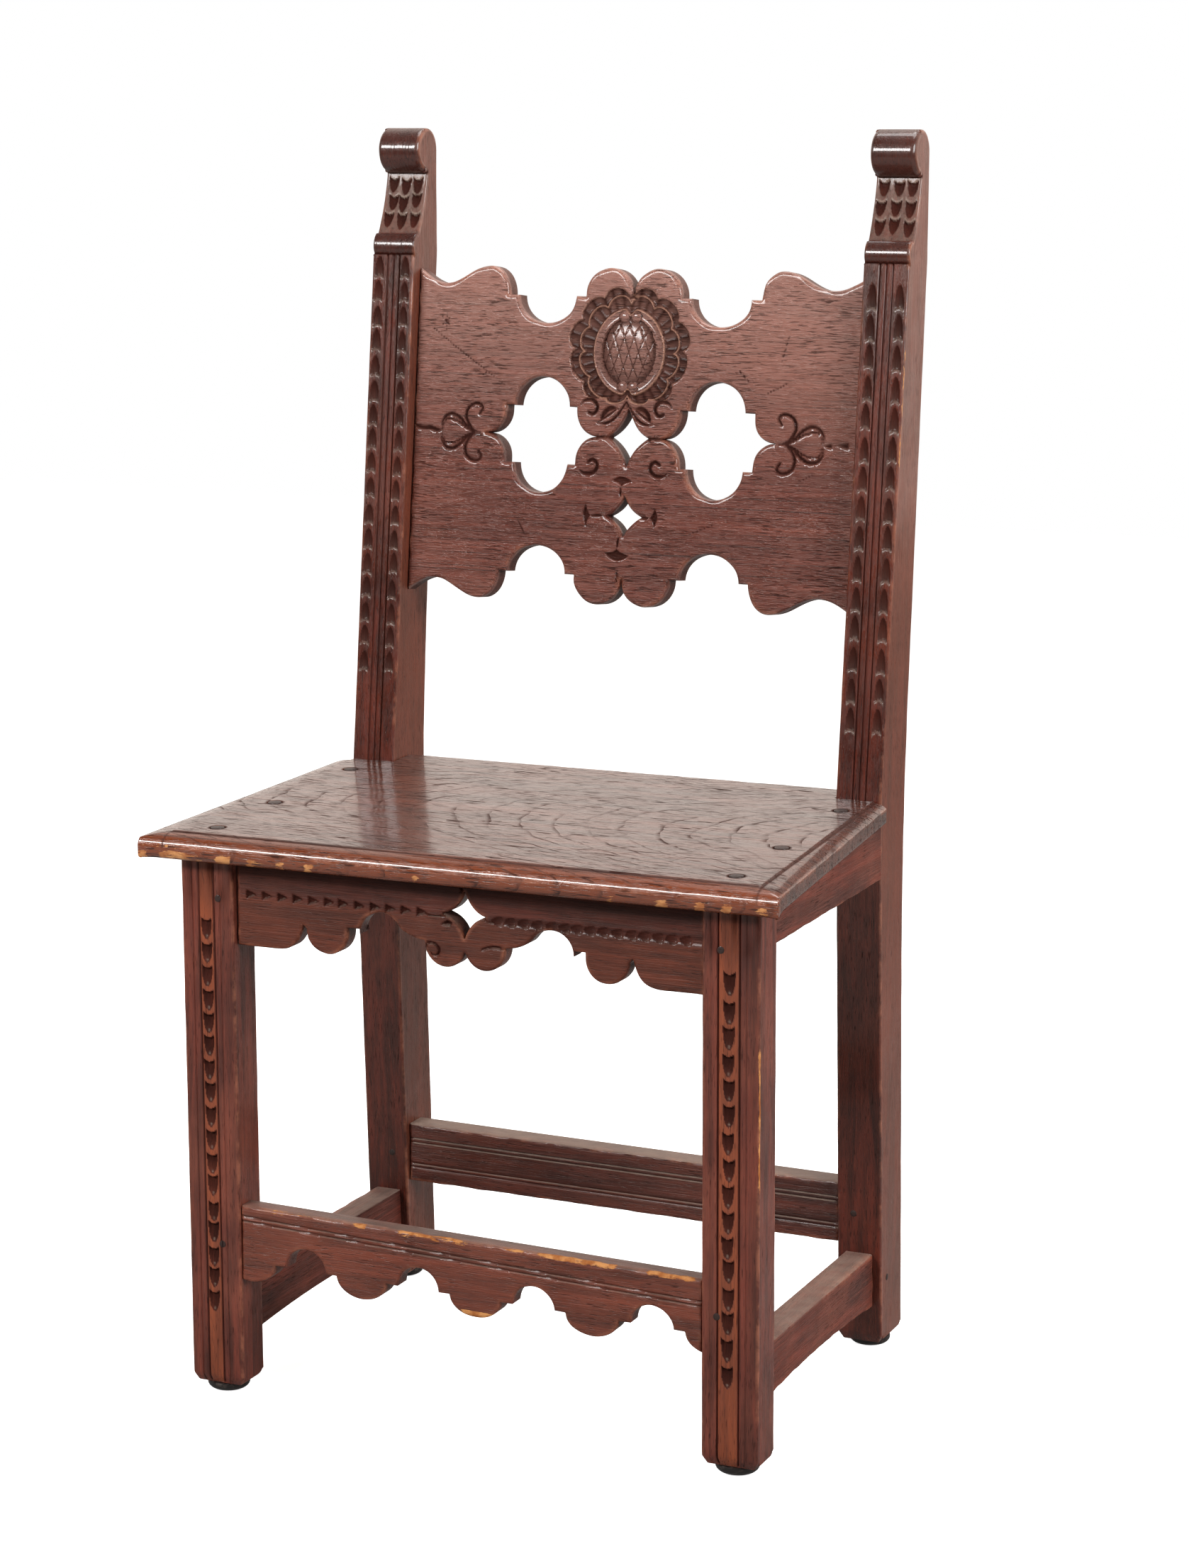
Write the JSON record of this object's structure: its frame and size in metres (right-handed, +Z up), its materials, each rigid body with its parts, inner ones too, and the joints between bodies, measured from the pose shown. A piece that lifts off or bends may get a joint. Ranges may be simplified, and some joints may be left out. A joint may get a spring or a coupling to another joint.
{
  "type": "chair",
  "caption": "Tall wooden hall chair with a pierced and scalloped board back, scroll-topped posts, a plank seat and scalloped apron and stretcher.",
  "frame": {"origin": "bottom centre of the bounding box, on the floor", "axes": "+Z up, -Y the front of the chair, +X the right-hand side as seen from the front"},
  "size_m": [0.5328, 0.391, 0.994],
  "materials": {
    "carved_wood": "dark stain and worn varnish",
    "seat_wood": "worn stain with open grain",
    "peg_wood": "dark stained end grain",
    "glide_steel": "black-brown enamelled"
  },
  "bodies": {
    "root": {"rear_post_left": "carved_wood", "front_leg_left": "carved_wood", "side_rail_left": "carved_wood", "side_stretcher_left": "carved_wood", "front_glide_left": "glide_steel", "rear_glide_left": "glide_steel", "side_stretcher_peg_left": "peg_wood", "seat_peg_front_left": "peg_wood", "seat_peg_middle_left": "peg_wood", "seat_peg_rear_left": "peg_wood", "apron_peg_left": "peg_wood", "front_stretcher_peg_left": "peg_wood", "rear_stretcher_peg_left": "peg_wood", "rear_post_right": "carved_wood", "front_leg_right": "carved_wood", "side_rail_right": "carved_wood", "side_stretcher_right": "carved_wood", "front_glide_right": "glide_steel", "rear_glide_right": "glide_steel", "side_stretcher_peg_right": "peg_wood", "seat_peg_front_right": "peg_wood", "seat_peg_middle_right": "peg_wood", "seat_peg_rear_right": "peg_wood", "apron_peg_right": "peg_wood", "front_stretcher_peg_right": "peg_wood", "rear_stretcher_peg_right": "peg_wood", "back_board": "carved_wood", "front_apron": "carved_wood", "rear_rail": "carved_wood", "front_stretcher": "carved_wood", "rear_stretcher": "carved_wood", "seat_board": "seat_wood"}
  },
  "joints": []
}
